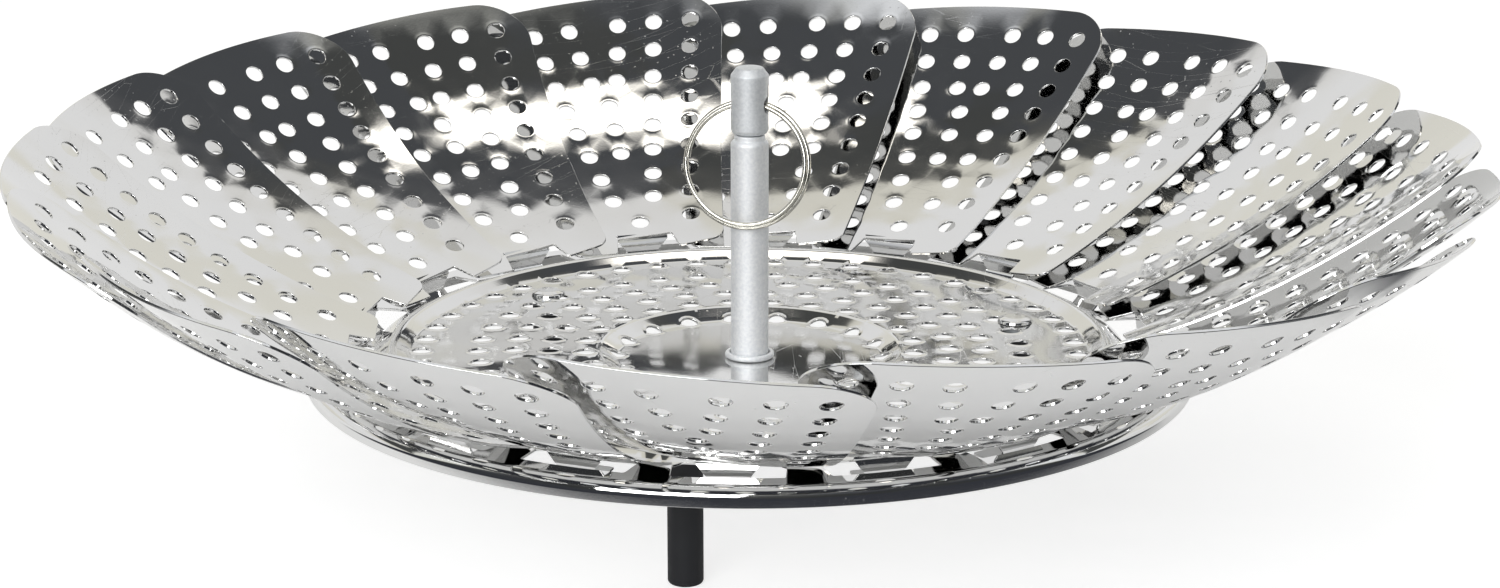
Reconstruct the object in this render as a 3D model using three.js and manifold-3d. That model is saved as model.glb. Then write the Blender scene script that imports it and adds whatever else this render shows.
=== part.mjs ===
// A folding steamer basket: a perforated round base on three legs, eighteen overlapping perforated
// petals hooked into slots round its rim, and a telescoping centre post with a wire pull ring.
// Millimetres, +Z up. The origin is on the axis of the post, level with the soles of the feet.
// The basket stands open: every petal lies back, the post is pushed down and the ring hangs.
import * as THREE from "three";
import { mergeVertices } from "three/addons/utils/BufferGeometryUtils.js";
import Module from "manifold-3d";

const wasm = await Module();
wasm.setup();

const turn = 2 * Math.PI;
const degree = Math.PI / 180;

// Fits shared by the pieces
const seatGap = 0.1;
const looseGap = 0.3;
const overrun = 1;
const closeShare = 1e-6;

// Stamped base plate: heights are from the middle of the perforated floor's sheet, and widths
// follow each other inwards from the rim
const sheet = 0.5;
const standHeight = 26.3;
const plateRadius = 80;
const skirtDrop = 2.9;
const rimRounding = 1.9;
const rimStrip = 2.9;
const slotDepth = 7.3;
const slotLand = 0.4;
const flangeRise = 0.2;
const beadWidth = 4.5;
const beadRise = 1.6;
const wallWidth = 7.4;
const wallFootRise = 0.75;
const dishRadius = 21.6;
const dishWall = 5;
const dishLip = 1.6;
const dishDepth = 1.9;
const centreBore = 2;
const plateSides = 36;

// Round holes are cut as squares of the same area
const holeRadius = 1.75;
const squareReach = holeRadius * Math.sqrt(Math.PI / 2);
const floorHoleCounts = [12, 18, 18, 18];
const wallHoleCount = 18;

// Petals and their slots
const petalCount = 18;
const firstPetalAngle = 87.3 * degree;
const petalPitch = turn / petalCount;
const slotHalfWidth = 9.4;
const slotBevel = 1.6;
const hingeInset = 0.2;
const hingeRise = 1.3;
const petalLength = 72.5;
const petalRootHalf = 15.4;
const petalTipHalf = 28.6;
const petalSlope = 30.2 * degree;
const petalArcRadius = 150;
const petalCrossRadius = 104;
const petalTwist = 5 * degree;
const petalLean = -2.9 * degree;
const tipArcRadius = 75;
const tipCorner = 8.5;
const rootCorner = 2.6;
const windowHeight = 4.6;
const windowHalf = 6.5;
const petalRowCounts = [2, 2, 3, 3, 4];
const petalRoundHoles = 44;
const lowRowInset = 4.6;
const topRowInset = 7.1;
const holeInset = 6.5;

// Tongue lanced out of the window and bent through the slot to hook under the plate
const tongueHalf = 3.4;
const tongueRoot = 0.7;
const tongueReach = 4.9;
const tongueDrop = 4.1;
const hookLength = 7.2;

// Centre post
const tubeRadius = 3.4;
const tubeWall = 0.5;
const tubeTop = 38.4;
const neckRadius = 2.9;
const neckHeight = 1.3;
const tubeFootHeight = 5;
const postSides = 12;
const collarRadius = 4.45;
const collarHeight = 1;

// Sliding rod and its head
const rodRadius = 2;
const stopHeight = 2;
const headHeight = 12.2;
const headSocket = 2.6;
const headDome = 1.7;
const headTaper = 0.7;
const ringHoleDrop = 7;
const ringHoleRadius = 1.6;
const ringHoleAngle = -14 * degree;

// Split wire ring, two turns of wire side by side
const wireRadius = 0.45;
const ringRadius = 11.45;
const ringSides = 24;

// Screw and washer under the plate
const screwRadius = 1.55;
const screwHeadRadius = 3.1;
const screwHeadHeight = 1.6;
const washerRadius = 4.4;
const washerThickness = 0.8;

// Legs
const legCount = 3;
const legInset = 3.6;
const firstLegAngle = 18 * degree;
const rivetHeadRadius = 3.3;
const rivetHeadHeight = 1.1;
const rivetRadius = 1.2;
const rivetDepth = 8;
const legRadius = 2.15;
const sleeveRadius = 3.05;
const sleeveTop = 1.2;
const soleThickness = 2.4;
const legSides = 8;

// A closed solid from a three.js geometry whose faces meet at shared corners.
function solidOf(geometry) {
  geometry.deleteAttribute("normal");
  geometry.deleteAttribute("uv");
  const joined = mergeVertices(geometry);
  const mesh = new wasm.Mesh({
    numProp: 3,
    vertProperties: joined.attributes.position.array,
    triVerts: new Uint32Array(joined.index.array),
  });
  return new wasm.Manifold(mesh);
}

// The geometry of a solid.
function geometryOf(solid) {
  const { vertProperties, triVerts } = solid.getMesh();
  return new THREE.BufferGeometry()
    .setAttribute("position", new THREE.BufferAttribute(vertProperties, 3))
    .setIndex(new THREE.BufferAttribute(triVerts, 1));
}

// A turned piece: the closed outline [radius, height], drawn upwards on its outer side.
function turned(outline, sides) {
  const points = outline.map(([radius, height]) => new THREE.Vector2(radius, height));
  return new THREE.LatheGeometry(points, sides).rotateX(Math.PI / 2);
}

// A closed turned piece that goes back to its first point, such as a tube.
function turnedRing(outline, sides) {
  return turned([...outline, outline[0]], sides);
}

// The shares across the sheet at which corners lie on the line between two bands.
function sharesOn(bands) {
  const found = new Map();
  for (const { cells, edges } of bands) {
    const shares = edges ?? Array.from({ length: cells + 1 }, (unused, i) => i / cells);
    for (const share of shares) found.set(share.toFixed(6), share);
  }
  return [...found.values()].sort((a, b) => a - b);
}

// A perforated sheet of even thickness. Bands run across it, and each band is a row of cells. A cell
// can hold a hole or be left open. place(u, share) gives the middle of the sheet and its normal, and
// flat(u, share) gives the same point on the flat blank, where the cells are cut into triangles.
function perforatedSheet({ bands, place, flat, wraps }) {
  const corners = [];
  const numbers = new Map();
  const triangles = [];
  const corner = (u, share) => {
    const across = wraps && share > 1 - closeShare ? share - 1 : share;
    const key = u.toFixed(5) + " " + across.toFixed(6);
    if (!numbers.has(key)) {
      numbers.set(key, corners.length);
      corners.push(place(u, across));
    }
    return numbers.get(key);
  };
  bands.forEach((band, row) => {
    const { from, to } = band;
    const near = sharesOn(bands.slice(Math.max(row - 1, 0), row + 1));
    const far = sharesOn(bands.slice(row, row + 2));
    const edges = sharesOn([band]);
    for (let cell = 0; cell + 1 < edges.length; cell++) {
      if (band.open === cell) continue;
      const inside = (share) =>
        share > edges[cell] - closeShare && share < edges[cell + 1] + closeShare;
      const sidePoints = band.sidePoints ?? [];
      const outline = near.filter(inside).map((share) => [from, share]);
      if (edges[cell + 1] > 1 - closeShare) outline.push(...sidePoints.map((u) => [u, 1]));
      outline.push(...far.filter(inside).reverse().map((share) => [to, share]));
      if (edges[cell] < closeShare) outline.push(...[...sidePoints].reverse().map((u) => [u, 0]));
      const hole = band.hole ? band.hole((edges[cell] + edges[cell + 1]) / 2, cell) : [];
      const points = [...outline, ...hole];
      const spots = points.map(([u, share]) => flat(u, share));
      const faces = THREE.ShapeUtils.triangulateShape(
        spots.slice(0, outline.length),
        hole.length ? [spots.slice(outline.length)] : [],
      );
      for (const [a, b, c] of faces) {
        const ab = spots[b].clone().sub(spots[a]);
        const ac = spots[c].clone().sub(spots[a]);
        const face = ab.cross(ac) > 0 ? [a, b, c] : [a, c, b];
        triangles.push(face.map((i) => corner(...points[i])));
      }
    }
  });
  return thickened(corners, triangles);
}

// Both faces of a sheet and the cut edges between them.
function thickened(corners, triangles) {
  const count = corners.length;
  const positions = [];
  for (const side of [1, -1])
    for (const { point, normal } of corners)
      positions.push(...point.clone().addScaledVector(normal, (side * sheet) / 2));
  const index = [];
  const edges = new Set();
  for (const [a, b, c] of triangles) {
    index.push(a, b, c, count + c, count + b, count + a);
    for (const [from, to] of [[a, b], [b, c], [c, a]]) edges.add(from + " " + to);
  }
  for (const edge of edges) {
    const [a, b] = edge.split(" ").map(Number);
    if (edges.has(b + " " + a)) continue;
    index.push(a, count + a, count + b, a, count + b, b);
  }
  return new THREE.BufferGeometry()
    .setAttribute("position", new THREE.Float32BufferAttribute(positions, 3))
    .setIndex(index);
}

// The square hole at distance u along the sheet and a share across it of the given width. reach is
// the distance from its middle to its corners.
function squareHole(u, share, width, reach) {
  return [
    [u - reach, share],
    [u, share + reach / width],
    [u + reach, share],
    [u, share - reach / width],
  ];
}

// Base plate
const slotOuter = plateRadius - rimRounding - rimStrip;
const slotInner = slotOuter - slotDepth;
const flangeStart = slotInner - slotLand;
const beadRadius = flangeStart - beadWidth / 2;
const wallFoot = flangeStart - beadWidth;
const floorEnd = wallFoot - wallWidth;
const dishEdge = dishRadius + dishWall;
const floorStart = dishEdge + dishLip;
const dishHoleCircle = (dishRadius + dishEdge) / 2;
const wallHoleCircle = (floorEnd + wallFoot) / 2;
const floorHolePitch = (floorEnd - floorStart) / floorHoleCounts.length;
const legCircle = floorEnd - legInset;

// The pressed profile from the centre bore to the skirt's edge: [radius, height].
const plateProfile = [
  [centreBore, -dishDepth],
  [dishRadius, -dishDepth],
  [dishEdge, -dishDepth / 2],
  [floorStart, 0],
  ...floorHoleCounts.slice(1).map((unused, i) => [floorStart + (i + 1) * floorHolePitch, 0]),
  [floorEnd, 0],
  [wallFoot, wallFootRise],
  [beadRadius, beadRise],
  [flangeStart, flangeRise],
  [plateRadius - rimRounding, flangeRise],
  [plateRadius, flangeRise - rimRounding],
  [plateRadius, -skirtDrop],
];

// Where the profile lies after a length u along it, with the mitred normal at its corners.
function alongProfile(u) {
  let start = 0;
  for (let i = 0; i + 1 < plateProfile.length; i++) {
    const from = new THREE.Vector2(...plateProfile[i]);
    const to = new THREE.Vector2(...plateProfile[i + 1]);
    const length = from.distanceTo(to);
    const share = (u - start) / length;
    if (share < 1 + closeShare || i + 2 === plateProfile.length) {
      const spot = from.clone().lerp(to, share);
      const next = share > 1 - closeShare ? Math.min(i + 2, plateProfile.length - 1) : i + 1;
      const along = to.clone().sub(from).normalize();
      const after = new THREE.Vector2(...plateProfile[next])
        .sub(new THREE.Vector2(...plateProfile[next - 1]))
        .normalize();
      const mean = along.clone().add(after).normalize();
      return { spot, normal: new THREE.Vector2(-mean.y, mean.x).divideScalar(mean.dot(along)) };
    }
    start += length;
  }
}

// The length along the profile to each of its corners.
const profileLengths = plateProfile.reduce((lengths, point, i) => {
  const before = plateProfile[Math.max(i - 1, 0)];
  const step = Math.hypot(point[0] - before[0], point[1] - before[1]);
  return [...lengths, (lengths[i - 1] ?? 0) + step];
}, []);

// The length along the profile at which it reaches a radius.
function lengthAt(radius) {
  const next = plateProfile.findIndex(([reach]) => reach > radius);
  const [[r0], [r1]] = [plateProfile[next - 1], plateProfile[next]];
  const [u0, u1] = [profileLengths[next - 1], profileLengths[next]];
  return u0 + ((u1 - u0) * (radius - r0)) / (r1 - r0);
}

// A petal's slot: narrower at its inner corners, so that the bridges between slots widen inwards.
function slotHole(share) {
  const across = (half, radius) => Math.asin(half / radius) / turn;
  const inner = lengthAt(slotInner);
  const bevelled = lengthAt(slotInner + slotBevel);
  const outer = lengthAt(slotOuter);
  const narrow = across(slotHalfWidth - slotBevel, slotInner);
  const wide = across(slotHalfWidth, slotInner + slotBevel);
  const far = across(slotHalfWidth, slotOuter);
  return [
    [inner, share - narrow],
    [bevelled, share - wide],
    [outer, share - far],
    [outer, share + far],
    [bevelled, share + wide],
    [inner, share + narrow],
    [inner, share],
  ];
}

function basePlate() {
  const rings = new Map();
  const ringOf = (circle, cells) => {
    const band = plateProfile.findIndex(([radius]) => radius > circle) - 1;
    const hole = (share) => squareHole(lengthAt(circle), share, turn * circle, squareReach);
    rings.set(band, { cells, hole });
  };
  floorHoleCounts.forEach((count, i) => ringOf(floorStart + (i + 0.5) * floorHolePitch, count));
  ringOf(dishHoleCircle, petalCount);
  ringOf(wallHoleCircle, wallHoleCount);
  const slots = plateProfile.findIndex(([radius]) => radius > slotInner) - 1;
  rings.set(slots, { cells: petalCount, hole: slotHole });
  const bands = plateProfile.slice(1).map((unused, i) => ({
    from: profileLengths[i],
    to: profileLengths[i + 1],
    cells: i < 1 ? petalCount : plateSides,
    ...rings.get(i),
  }));
  const angleOf = (share) => firstPetalAngle - petalPitch / 2 + turn * share;
  const plate = perforatedSheet({
    bands,
    wraps: true,
    flat: (u, share) => {
      const angle = angleOf(share);
      return new THREE.Vector2(Math.cos(angle), Math.sin(angle)).multiplyScalar(centreBore + u);
    },
    place: (u, share) => {
      const { spot, normal } = alongProfile(u);
      const angle = angleOf(share);
      const [c, s] = [Math.cos(angle), Math.sin(angle)];
      return {
        point: new THREE.Vector3(spot.x * c, spot.x * s, spot.y),
        normal: new THREE.Vector3(normal.x * c, normal.x * s, normal.y),
      };
    },
  });
  const drill = turned(
    [
      [0, -sheet - overrun],
      [rivetRadius + looseGap, -sheet - overrun],
      [rivetRadius + looseGap, sheet + overrun],
      [0, sheet + overrun],
    ],
    legSides,
  );
  let solid = solidOf(plate);
  for (let leg = 0; leg < legCount; leg++)
    solid = solid.subtract(solidOf(drill.clone().applyMatrix4(legPlace(leg))));
  return geometryOf(solid);
}

// Petal
const hingeRadius = slotInner + hingeInset;
const topRow = petalLength - topRowInset;
const lowRow = windowHeight + lowRowInset;
const petalRowPitch = (topRow - lowRow) / (petalRowCounts.length - 1);

// Each square in a petal is as open as the round holes it stands for
const petalSquares = petalRowCounts.reduce((sum, count) => sum + count);
const petalHoleReach = squareReach * Math.sqrt(petalRoundHoles / petalSquares);

// Half the petal's width at a distance x from its hinge edge, with its rounded corners.
function petalHalf(x) {
  const straight = THREE.MathUtils.lerp(petalRootHalf, petalTipHalf, x / petalLength);
  const tip = Math.max(x - (petalLength - tipCorner), 0);
  const root = Math.max(rootCorner - x, 0);
  const tipLoss = tipCorner - Math.sqrt(Math.max(tipCorner ** 2 - tip ** 2, 0));
  const rootLoss = rootCorner - Math.sqrt(Math.max(rootCorner ** 2 - root ** 2, 0));
  return straight - tipLoss - rootLoss;
}

// The petal's dished middle surface above the chord from hinge to tip.
function petalRise(x, y) {
  const along = (x * (x - petalLength)) / (2 * petalArcRadius);
  const across = y ** 2 / (2 * petalCrossRadius);
  return along + across;
}

// Where the petal at angle 0 stands: sloped up from the hinge, and twisted so that one side edge
// lies inside its neighbour and the other outside.
const petalFrame = new THREE.Matrix4()
  .makeTranslation(hingeRadius, 0, hingeRise)
  .multiply(new THREE.Matrix4().makeRotationY(-petalSlope))
  .multiply(new THREE.Matrix4().makeRotationX(-petalTwist));

// A point of the petal. Its rows bend round with its tip edge, and its middle line leans aside.
function petalPoint(distance, y) {
  const x = distance - (distance / petalLength) * (y ** 2 / (2 * tipArcRadius));
  const aside = y + x * Math.tan(petalLean);
  return new THREE.Vector3(x, aside, petalRise(x, y)).applyMatrix4(petalFrame);
}

function petalSheet() {
  const step = petalLength / 1000;
  const rows = petalRowCounts.length;
  const windowShare = windowHalf / (2 * petalHalf(windowHeight));
  const bands = petalRowCounts.map((cells, row) => {
    const centre = topRow - (rows - 1 - row) * petalRowPitch;
    const last = row === rows - 1;
    return {
      from: row ? centre - petalRowPitch / 2 : windowHeight,
      to: last ? petalLength - tipCorner * (1 - Math.SQRT1_2) : centre + petalRowPitch / 2,
      cells,
      sidePoints: last ? [petalLength - tipCorner] : [],
      hole: (share, cell) => {
        const half = petalHalf(Math.min(centre, petalLength - tipCorner));
        const reach = half - holeInset;
        const y = cells > 1 ? THREE.MathUtils.lerp(-reach, reach, cell / (cells - 1)) : 0;
        const width = 2 * petalHalf(centre);
        return squareHole(centre, y / width + 0.5, width, petalHoleReach);
      },
    };
  });
  bands.unshift({
    from: 0,
    to: windowHeight,
    edges: [0, 0.5 - windowShare, 0.5 + windowShare, 1],
    open: 1,
    sidePoints: [rootCorner],
  });
  bands.push({ from: bands[rows].to, to: petalLength, cells: 2 });
  return perforatedSheet({
    bands,
    wraps: false,
    flat: (x, share) => {
      const y = (2 * share - 1) * petalHalf(x);
      return new THREE.Vector2(x + y ** 2 / (2 * petalLength), y);
    },
    place: (x, share) => {
      const y = (2 * share - 1) * petalHalf(x);
      const alongX = petalPoint(x + step, y).sub(petalPoint(x - step, y));
      const alongY = petalPoint(x, y + step).sub(petalPoint(x, y - step));
      return { point: petalPoint(x, y), normal: alongX.cross(alongY).normalize() };
    },
  });
}

// The strip bent down from the window's upper edge and hooked under the plate.
function petalTongue() {
  const root = petalPoint(windowHeight + tongueRoot, 0);
  const outer = hingeRadius + tongueReach;
  const path = [
    [root.x, root.z],
    [outer, hingeRise - tongueDrop + tongueReach / 2],
    [outer - tongueReach / 2, hingeRise - tongueDrop],
    [outer - hookLength, hingeRise - tongueDrop + sheet],
  ].map(([r, z]) => new THREE.Vector2(r, z));
  const side = (sign) =>
    path.map((spot, i) => {
      const before = path[Math.max(i - 1, 0)];
      const after = path[Math.min(i + 1, path.length - 1)];
      const along = after.clone().sub(before).normalize();
      return spot.clone().add(new THREE.Vector2(-along.y, along.x).multiplyScalar((sign * sheet) / 2));
    });
  const outline = new THREE.Shape([...side(1), ...side(-1).reverse()]);
  return new THREE.ExtrudeGeometry(outline, { depth: 2 * tongueHalf, bevelEnabled: false })
    .translate(0, 0, -tongueHalf)
    .rotateX(Math.PI / 2);
}

const petalGeometry = geometryOf(solidOf(petalSheet()).add(solidOf(petalTongue())));

// Centre post, from the dish up
const dishTop = -dishDepth + sheet / 2;
const dishUnder = -dishDepth - sheet / 2;
const tubeFoot = dishTop + seatGap;
const boreRadius = tubeRadius - tubeWall;
const neckBore = rodRadius + looseGap;
const neckTop = tubeTop + neckHeight;
const shoulder = tubeRadius - neckRadius;
const headBottom = neckTop + looseGap;
const headTop = headBottom + headHeight;
const rodFoot = tubeFoot + tubeFootHeight + looseGap;
const ringHoleHeight = headTop - ringHoleDrop;

function postTube() {
  return turnedRing(
    [
      [screwRadius + looseGap, tubeFoot],
      [tubeRadius, tubeFoot],
      [tubeRadius, tubeTop - shoulder],
      [neckRadius, tubeTop],
      [neckRadius, neckTop],
      [neckBore, neckTop],
      [neckBore, tubeTop - shoulder],
      [boreRadius, tubeTop - 2 * shoulder],
      [boreRadius, tubeFoot + tubeFootHeight],
      [screwRadius + looseGap, tubeFoot + tubeFootHeight],
    ],
    postSides,
  );
}

function postCollar() {
  const inner = tubeRadius + looseGap;
  const rounding = collarHeight / 4;
  return turnedRing(
    [
      [inner, tubeFoot],
      [collarRadius - rounding, tubeFoot],
      [collarRadius, tubeFoot + collarHeight / 2],
      [collarRadius - rounding, tubeFoot + collarHeight],
      [inner, tubeFoot + collarHeight],
    ],
    postSides,
  );
}

function handleRod() {
  const stopRadius = boreRadius - looseGap;
  return turned(
    [
      [0, rodFoot],
      [stopRadius, rodFoot],
      [stopRadius, rodFoot + stopHeight],
      [rodRadius, rodFoot + stopHeight],
      [rodRadius, headBottom + headSocket - seatGap],
      [0, headBottom + headSocket - seatGap],
    ],
    postSides,
  );
}

function handleHead() {
  const body = turned(
    [
      [0, headBottom + headSocket],
      [rodRadius + seatGap, headBottom + headSocket],
      [rodRadius + seatGap, headBottom],
      [tubeRadius - headTaper / 2, headBottom],
      [tubeRadius, headBottom + headTaper],
      [tubeRadius, headTop - headDome],
      [tubeRadius - headDome / 2, headTop - headDome / 3],
      [0, headTop],
    ],
    postSides,
  );
  const drill = new THREE.CylinderGeometry(
    ringHoleRadius,
    ringHoleRadius,
    2 * (tubeRadius + overrun),
    postSides,
  )
    .rotateZ(Math.PI / 2)
    .rotateZ(ringHoleAngle)
    .translate(0, 0, ringHoleHeight);
  return geometryOf(solidOf(body).subtract(solidOf(drill)));
}

// The ring hangs from the cross hole and leans on the front of the tube.
const ringMiddle = ringRadius - wireRadius;
const ringLean = Math.asin((tubeRadius + looseGap + 2 * wireRadius) / (2 * ringMiddle - wireRadius));
const ringSag = tubeRadius ** 2 / (4 * ringMiddle);

function pullRing() {
  const outline = [
    [ringRadius - 2 * wireRadius, -wireRadius],
    [ringRadius - wireRadius, -2 * wireRadius],
    [ringRadius, -wireRadius],
    [ringRadius, wireRadius],
    [ringRadius - wireRadius, 2 * wireRadius],
    [ringRadius - 2 * wireRadius, wireRadius],
  ];
  return turnedRing(outline, ringSides)
    .rotateX(Math.PI / 2)
    .translate(0, 0, ringSag - ringMiddle)
    .rotateX(-ringLean)
    .rotateZ(ringHoleAngle)
    .translate(0, 0, ringHoleHeight);
}

// Screw and washer that hold the post from below
const washerTop = dishUnder - seatGap;
const screwSeat = washerTop - washerThickness - seatGap;

function postWasher() {
  return turnedRing(
    [
      [screwRadius + looseGap, washerTop - washerThickness],
      [washerRadius, washerTop - washerThickness],
      [washerRadius, washerTop],
      [screwRadius + looseGap, washerTop],
    ],
    legSides,
  );
}

function postScrew() {
  return turned(
    [
      [0, screwSeat - screwHeadHeight],
      [screwHeadRadius - screwHeadHeight / 2, screwSeat - screwHeadHeight],
      [screwHeadRadius, screwSeat - screwHeadHeight / 2],
      [screwHeadRadius, screwSeat],
      [screwRadius, screwSeat],
      [screwRadius, tubeFoot + tubeFootHeight - seatGap],
      [0, tubeFoot + tubeFootHeight - seatGap],
    ],
    legSides,
  );
}

// Legs: each is a rivet through the plate, a steel post on it and a black sleeve with a closed foot
const plateUnder = -sheet / 2;
const legTop = plateUnder - seatGap;
const sole = -standHeight;
const legFoot = sole + soleThickness + looseGap;

function legPlace(leg) {
  const angle = firstLegAngle + (turn * leg) / legCount;
  return new THREE.Matrix4().makeTranslation(
    legCircle * Math.cos(angle),
    legCircle * Math.sin(angle),
    0,
  );
}

function legRivet() {
  const seat = sheet / 2 + seatGap;
  return turned(
    [
      [0, legTop - rivetDepth],
      [rivetRadius, legTop - rivetDepth],
      [rivetRadius, seat],
      [rivetHeadRadius, seat],
      [rivetHeadRadius * Math.SQRT1_2, seat + rivetHeadHeight * Math.SQRT1_2],
      [0, seat + rivetHeadHeight],
    ],
    legSides,
  );
}

function legPost() {
  const bore = rivetRadius + looseGap;
  return turned(
    [
      [0, legFoot],
      [legRadius, legFoot],
      [legRadius, legTop],
      [bore, legTop],
      [bore, legTop - rivetDepth - looseGap],
      [0, legTop - rivetDepth - looseGap],
    ],
    legSides,
  );
}

function legSleeve() {
  const bore = legRadius + looseGap;
  const rounding = (sleeveRadius - bore) / 2;
  return turned(
    [
      [0, sole],
      [sleeveRadius - rounding, sole],
      [sleeveRadius, sole + rounding],
      [sleeveRadius, plateUnder - sleeveTop],
      [bore, plateUnder - sleeveTop],
      [bore, sole + soleThickness],
      [0, sole + soleThickness],
    ],
    legSides,
  );
}

// Materials
const mirrorSteel = { color: 0xd4d5d6, roughness: 0.12, metalness: 1 };
const satinAluminium = { color: 0xb4b6b8, roughness: 0.4, metalness: 1 };
const wireSteel = { color: 0xc3c4c4, roughness: 0.2, metalness: 1 };
const blackSilicone = { color: 0x1c1d20, roughness: 0.5, metalness: 0 };

// Assembly
const basket = new THREE.Group();
basket.position.z = standHeight;

function piece(name, geometry, look) {
  const mesh = new THREE.Mesh(geometry, new THREE.MeshStandardMaterial(look));
  mesh.name = name;
  basket.add(mesh);
  return mesh;
}

piece("base_plate", basePlate(), mirrorSteel);
for (let petal = 0; petal < petalCount; petal++) {
  const name = "petal_" + String(petal + 1).padStart(2, "0");
  piece(name, petalGeometry, mirrorSteel).rotation.z = firstPetalAngle + petal * petalPitch;
}
piece("post_tube", postTube(), satinAluminium);
piece("post_collar", postCollar(), satinAluminium);
piece("post_screw", postScrew(), wireSteel);
piece("post_washer", postWasher(), wireSteel);
piece("handle_rod", handleRod(), satinAluminium);
piece("handle_head", handleHead(), satinAluminium);
piece("pull_ring", pullRing(), wireSteel);
for (let leg = 0; leg < legCount; leg++) {
  const place = legPlace(leg);
  piece("leg_rivet_" + (leg + 1), legRivet(), mirrorSteel).applyMatrix4(place);
  piece("leg_post_" + (leg + 1), legPost(), wireSteel).applyMatrix4(place);
  piece("leg_sleeve_" + (leg + 1), legSleeve(), blackSilicone).applyMatrix4(place);
}

export default basket;
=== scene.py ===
# A folding steamer basket: a perforated round base on three legs, eighteen perforated petals
# hooked into slots round its rim, and a centre post with a wire ring, standing open on a white floor.
# Lengths are in millimetres until a mesh is made, and heights are from the middle of the base's floor.
import math

import bpy
import numpy as np
from mathutils import Matrix, Vector
from mathutils.geometry import delaunay_2d_cdt


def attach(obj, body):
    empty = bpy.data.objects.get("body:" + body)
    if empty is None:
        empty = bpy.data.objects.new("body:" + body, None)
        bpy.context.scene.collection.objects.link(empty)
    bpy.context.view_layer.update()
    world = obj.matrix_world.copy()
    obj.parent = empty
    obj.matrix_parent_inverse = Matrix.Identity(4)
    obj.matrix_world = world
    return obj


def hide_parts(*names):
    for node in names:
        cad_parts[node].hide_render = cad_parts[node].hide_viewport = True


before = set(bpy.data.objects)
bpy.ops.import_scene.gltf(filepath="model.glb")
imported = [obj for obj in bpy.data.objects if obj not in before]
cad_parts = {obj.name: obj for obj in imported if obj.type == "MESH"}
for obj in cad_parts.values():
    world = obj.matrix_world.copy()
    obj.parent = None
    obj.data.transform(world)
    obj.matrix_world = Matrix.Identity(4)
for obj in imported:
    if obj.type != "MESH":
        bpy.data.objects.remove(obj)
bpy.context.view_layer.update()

# Base plate
# One round blank of 0.5 mm stainless steel, pressed into a sunk dish, a flat floor, a rising wall
# with a bead, a slotted flange and a turned-down skirt. Its holes are punched from below, which
# raises a small lip round each, and the whole plate is polished like a mirror.
mm = 0.001
sheet = 0.5
cut_rounding = 0.11
floor_height = 26.3
hole_radius = 1.75
plate_radius = 80
dish_radius = 24.2
dish_height = -1.9
floor_inner = 27.4
flange_height = 0.2
slot_inner = 67.9
slot_outer = 75.2
slot_half = 9.4
slot_bevel = 1.6
slot_corner = 0.5
slot_step = 1.4
petal_count = 18
first_petal = math.radians(87.3)
lip_height = 0.17
lip_width = 0.32
arc_step = math.radians(5)

# The pressed profile of the plate from its bore to the skirt's edge: (radius, height, rounding).
plate_profile = [
    (2.0, dish_height, 0),
    (dish_radius, dish_height, 1.6),
    (floor_inner, 0.0, 1.3),
    (61.5, 0.0, 1.2),
    (64.5, 1.95, 1.5),
    (68.0, flange_height, 1.6),
    (plate_radius, flange_height, 1.9),
    (plate_radius, -2.9, 0),
]

# Rings of punched holes: (radius, count, angle of the first in degrees, hole radius).
plate_rings = [
    (24.1, 18, 78, 1.6),
    (29.9, 24, 82, hole_radius),
    (36.2, 29, 85, hole_radius),
    (42.6, 35, 80, hole_radius),
    (49.2, 40, 84, hole_radius),
    (59.4, 48, 85.2, hole_radius),
]


def rounded(corners, closed=False):
    """Points along straight runs and round corners, and the direction of travel at each point."""
    count = len(corners)
    points = []
    headings = []
    for i, (across, up, radius) in enumerate(corners):
        here = np.array((across, up), float)
        if not closed and i in (0, count - 1):
            other = np.array(corners[1 if i == 0 else -2][:2])
            run = other - here if i == 0 else here - other
            points.append(here)
            headings.append(math.atan2(run[1], run[0]))
            continue
        into = here - np.array(corners[i - 1][:2])
        away = np.array(corners[(i + 1) % count][:2]) - here
        start = math.atan2(into[1], into[0])
        bend = (math.atan2(away[1], away[0]) - start + math.pi) % (2 * math.pi) - math.pi
        side = math.copysign(1, bend)
        back = radius * math.tan(abs(bend) / 2)
        first = here - into / np.linalg.norm(into) * back
        centre = first + side * radius * np.array((-math.sin(start), math.cos(start)))
        steps = max(2, math.ceil(abs(bend) / arc_step))
        for k in range(steps + 1):
            heading = start + bend * k / steps
            spot = centre - side * radius * np.array((-math.sin(heading), math.cos(heading)))
            points.append(spot)
            headings.append(heading)
    return np.array(points), np.unwrap(headings)


def lengths_along(points):
    """The distance travelled from the first point to each point."""
    return np.concatenate([[0], np.cumsum(np.linalg.norm(np.diff(points, axis=0), axis=1))])


def divided(points, step):
    """The same closed loop with points no further apart than the step."""
    loop = []
    for here, there in zip(points, np.roll(points, -1, axis=0)):
        pieces = max(1, math.ceil(np.linalg.norm(there - here) / step))
        loop += [here + (there - here) * k / pieces for k in range(pieces)]
    return np.array(loop)


def cut_blank(outline, holes, inner):
    """The triangles of a flat blank, and the loops of its outline and holes, material on their left."""
    fill_inside = 1
    same_spot = 1e-6
    spots = [*outline]
    loops = [list(range(len(outline)))]
    for hole in holes:
        loops.append(list(range(len(spots), len(spots) + len(hole))))
        spots += [*hole]
    spots += [*inner]
    flat = [Vector(spot) for spot in spots]
    fences = [loops[0], *[loop[::-1] for loop in loops[1:]]]
    made, _, faces, sources, _, owners = delaunay_2d_cdt(flat, [], fences, fill_inside, same_spot)
    where = {source: i for i, group in enumerate(sources) for source in group}
    triangles = [face for face, owner in zip(faces, owners) if owner == [0]]
    triangles = np.array(triangles)
    made = np.array([tuple(spot) for spot in made])
    a, b, c = (made[triangles[:, k]] for k in range(3))
    turned_over = np.cross(b - a, c - a) < 0
    triangles[turned_over] = triangles[turned_over][:, ::-1]
    return made, triangles, [[where[i] for i in loop] for loop in loops]


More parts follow.
